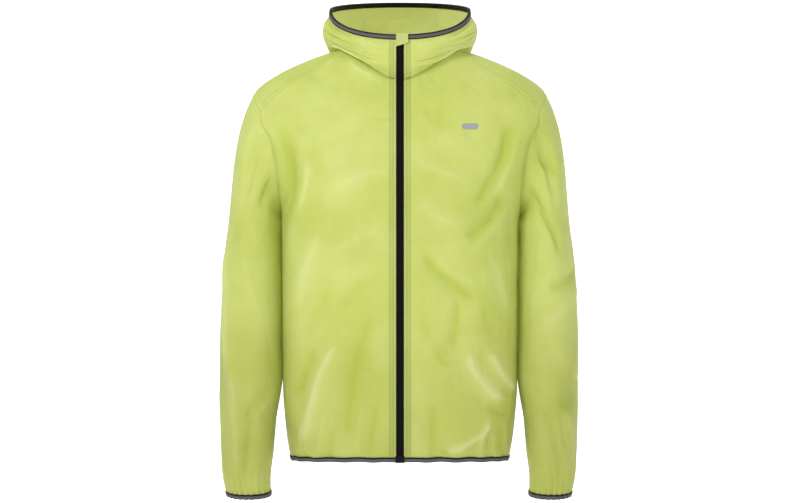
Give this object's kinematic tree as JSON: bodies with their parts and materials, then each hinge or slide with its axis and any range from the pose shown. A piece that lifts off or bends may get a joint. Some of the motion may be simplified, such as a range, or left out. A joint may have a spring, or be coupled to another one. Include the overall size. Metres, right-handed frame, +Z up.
{
  "type": "rain jacket",
  "caption": "Light hooded rain jacket with a full front zip and elastic bound hem, cuffs and hood, in the hollow form it has when worn.",
  "frame": {"origin": "between the shoulders, level with the shoulder line, where the wearer holds the jacket up", "axes": "+Z up, -Y the way the wearer faces, +X to the wearer's left"},
  "size_m": [0.6017, 0.3622, 0.8415],
  "materials": {
    "shell_cloth": "thin, slightly see-through woven nylon in bright yellow-green, soft sheen",
    "edge_elastic": "ribbed grey elastic with black edges",
    "zip_tape": "matt black woven tape with a coil behind",
    "zip_plastic": "black moulded plastic"
  },
  "bodies": {
    "root": {"front_left": "shell_cloth", "front_right": "shell_cloth", "back": "shell_cloth", "sleeve_left": "shell_cloth", "sleeve_right": "shell_cloth", "hood_side_left": "shell_cloth", "hood_side_right": "shell_cloth", "hood_centre": "shell_cloth", "zip_garage": "shell_cloth", "hood_binding": "edge_elastic", "hem_binding": "edge_elastic", "cuff_binding_left": "edge_elastic", "cuff_binding_right": "edge_elastic", "zip_tape_left": "zip_tape", "zip_tape_right": "zip_tape", "zip_box": "zip_plastic", "zip_slider": "zip_plastic"}
  },
  "joints": []
}
